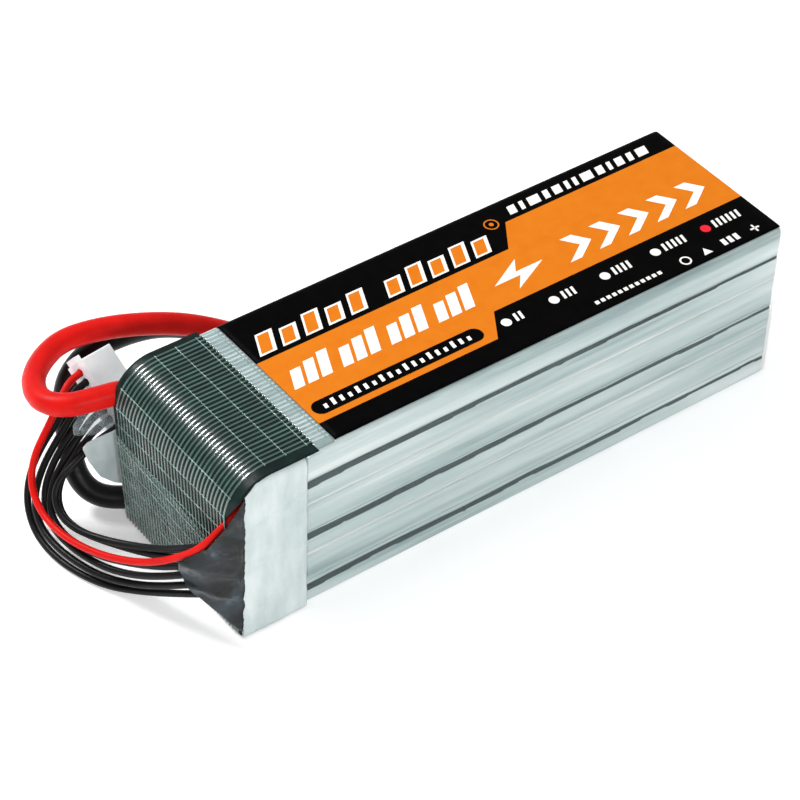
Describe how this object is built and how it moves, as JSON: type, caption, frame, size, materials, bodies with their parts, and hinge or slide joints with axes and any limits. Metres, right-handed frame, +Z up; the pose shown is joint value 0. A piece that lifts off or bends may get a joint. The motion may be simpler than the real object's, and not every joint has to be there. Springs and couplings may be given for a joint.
{
  "type": "six-cell lithium-polymer battery pack",
  "caption": "Flat-sided lithium-polymer battery pack in clear shrink film, with a printed top label, a taped green end wrap, two thick discharge leads with a plug and a seven-wire balance lead.",
  "frame": {"origin": "centre of the pack's bottom face", "axes": "+Z up, +X along the pack to its closed end, so that the leads come out of the -X end"},
  "size_m": [0.1775, 0.081, 0.0461],
  "materials": {
    "pouch_foil": "satin, faint streaks",
    "adhesive": "matt double-sided tape",
    "red_silicone": "soft satin silicone",
    "black_silicone": "soft satin silicone",
    "red_sleeve": "shrunk tube, satin",
    "black_sleeve": "shrunk tube, satin",
    "clear_film": "clear glossy film",
    "tinned_contact": "tin plate",
    "gold_contact": "gold plate",
    "solder": "bright solder",
    "copper": "tinned copper",
    "circuit_board": "solder mask",
    "aluminium_tab": "thin sheet",
    "nickel_tab": "nickel-plated copper sheet",
    "white_nylon": "moulded, slightly translucent",
    "dark_nylon": "moulded nylon",
    "white_tape": "satin acetate cloth tape",
    "foam": "closed-cell foam",
    "green_paper": "dark green insulation paper",
    "fibre_tape": "clear tape with glass threads",
    "printed_label": "satin printed label, orange and black"
  },
  "bodies": {
    "root": {"balance_contacts": "tinned_contact", "balance_housing": "white_nylon", "balance_solder_joints": "solder", "balance_wire_1": "red_silicone", "balance_wire_2": "black_silicone", "balance_wire_3": "black_silicone", "balance_wire_4": "black_silicone", "balance_wire_5": "black_silicone", "balance_wire_6": "black_silicone", "balance_wire_7": "black_silicone", "balance_wire_film": "clear_film", "black_lead": "black_silicone", "black_lead_sleeve": "black_sleeve", "board_copper_pads": "copper", "cell_1": "pouch_foil", "cell_2": "pouch_foil", "cell_3": "pouch_foil", "cell_4": "pouch_foil", "cell_5": "pouch_foil", "cell_6": "pouch_foil", "cell_adhesive_1": "adhesive", "cell_adhesive_2": "adhesive", "cell_adhesive_3": "adhesive", "cell_adhesive_4": "adhesive", "cell_adhesive_5": "adhesive", "corner_tape_back": "white_tape", "corner_tape_front": "white_tape", "end_foam_pad": "foam", "end_insulation_wrap": "green_paper", "filament_tape": "fibre_tape", "label": "printed_label", "lead_film_collar": "clear_film", "lead_solder_joints": "solder", "main_plug_body": "dark_nylon", "main_plug_sockets": "gold_contact", "negative_tabs": "nickel_tab", "positive_tabs": "aluminium_tab", "red_lead": "red_silicone", "red_lead_sleeve": "red_sleeve", "shrink_film": "clear_film", "tab_board": "circuit_board", "tab_solder": "solder"}
  },
  "joints": []
}
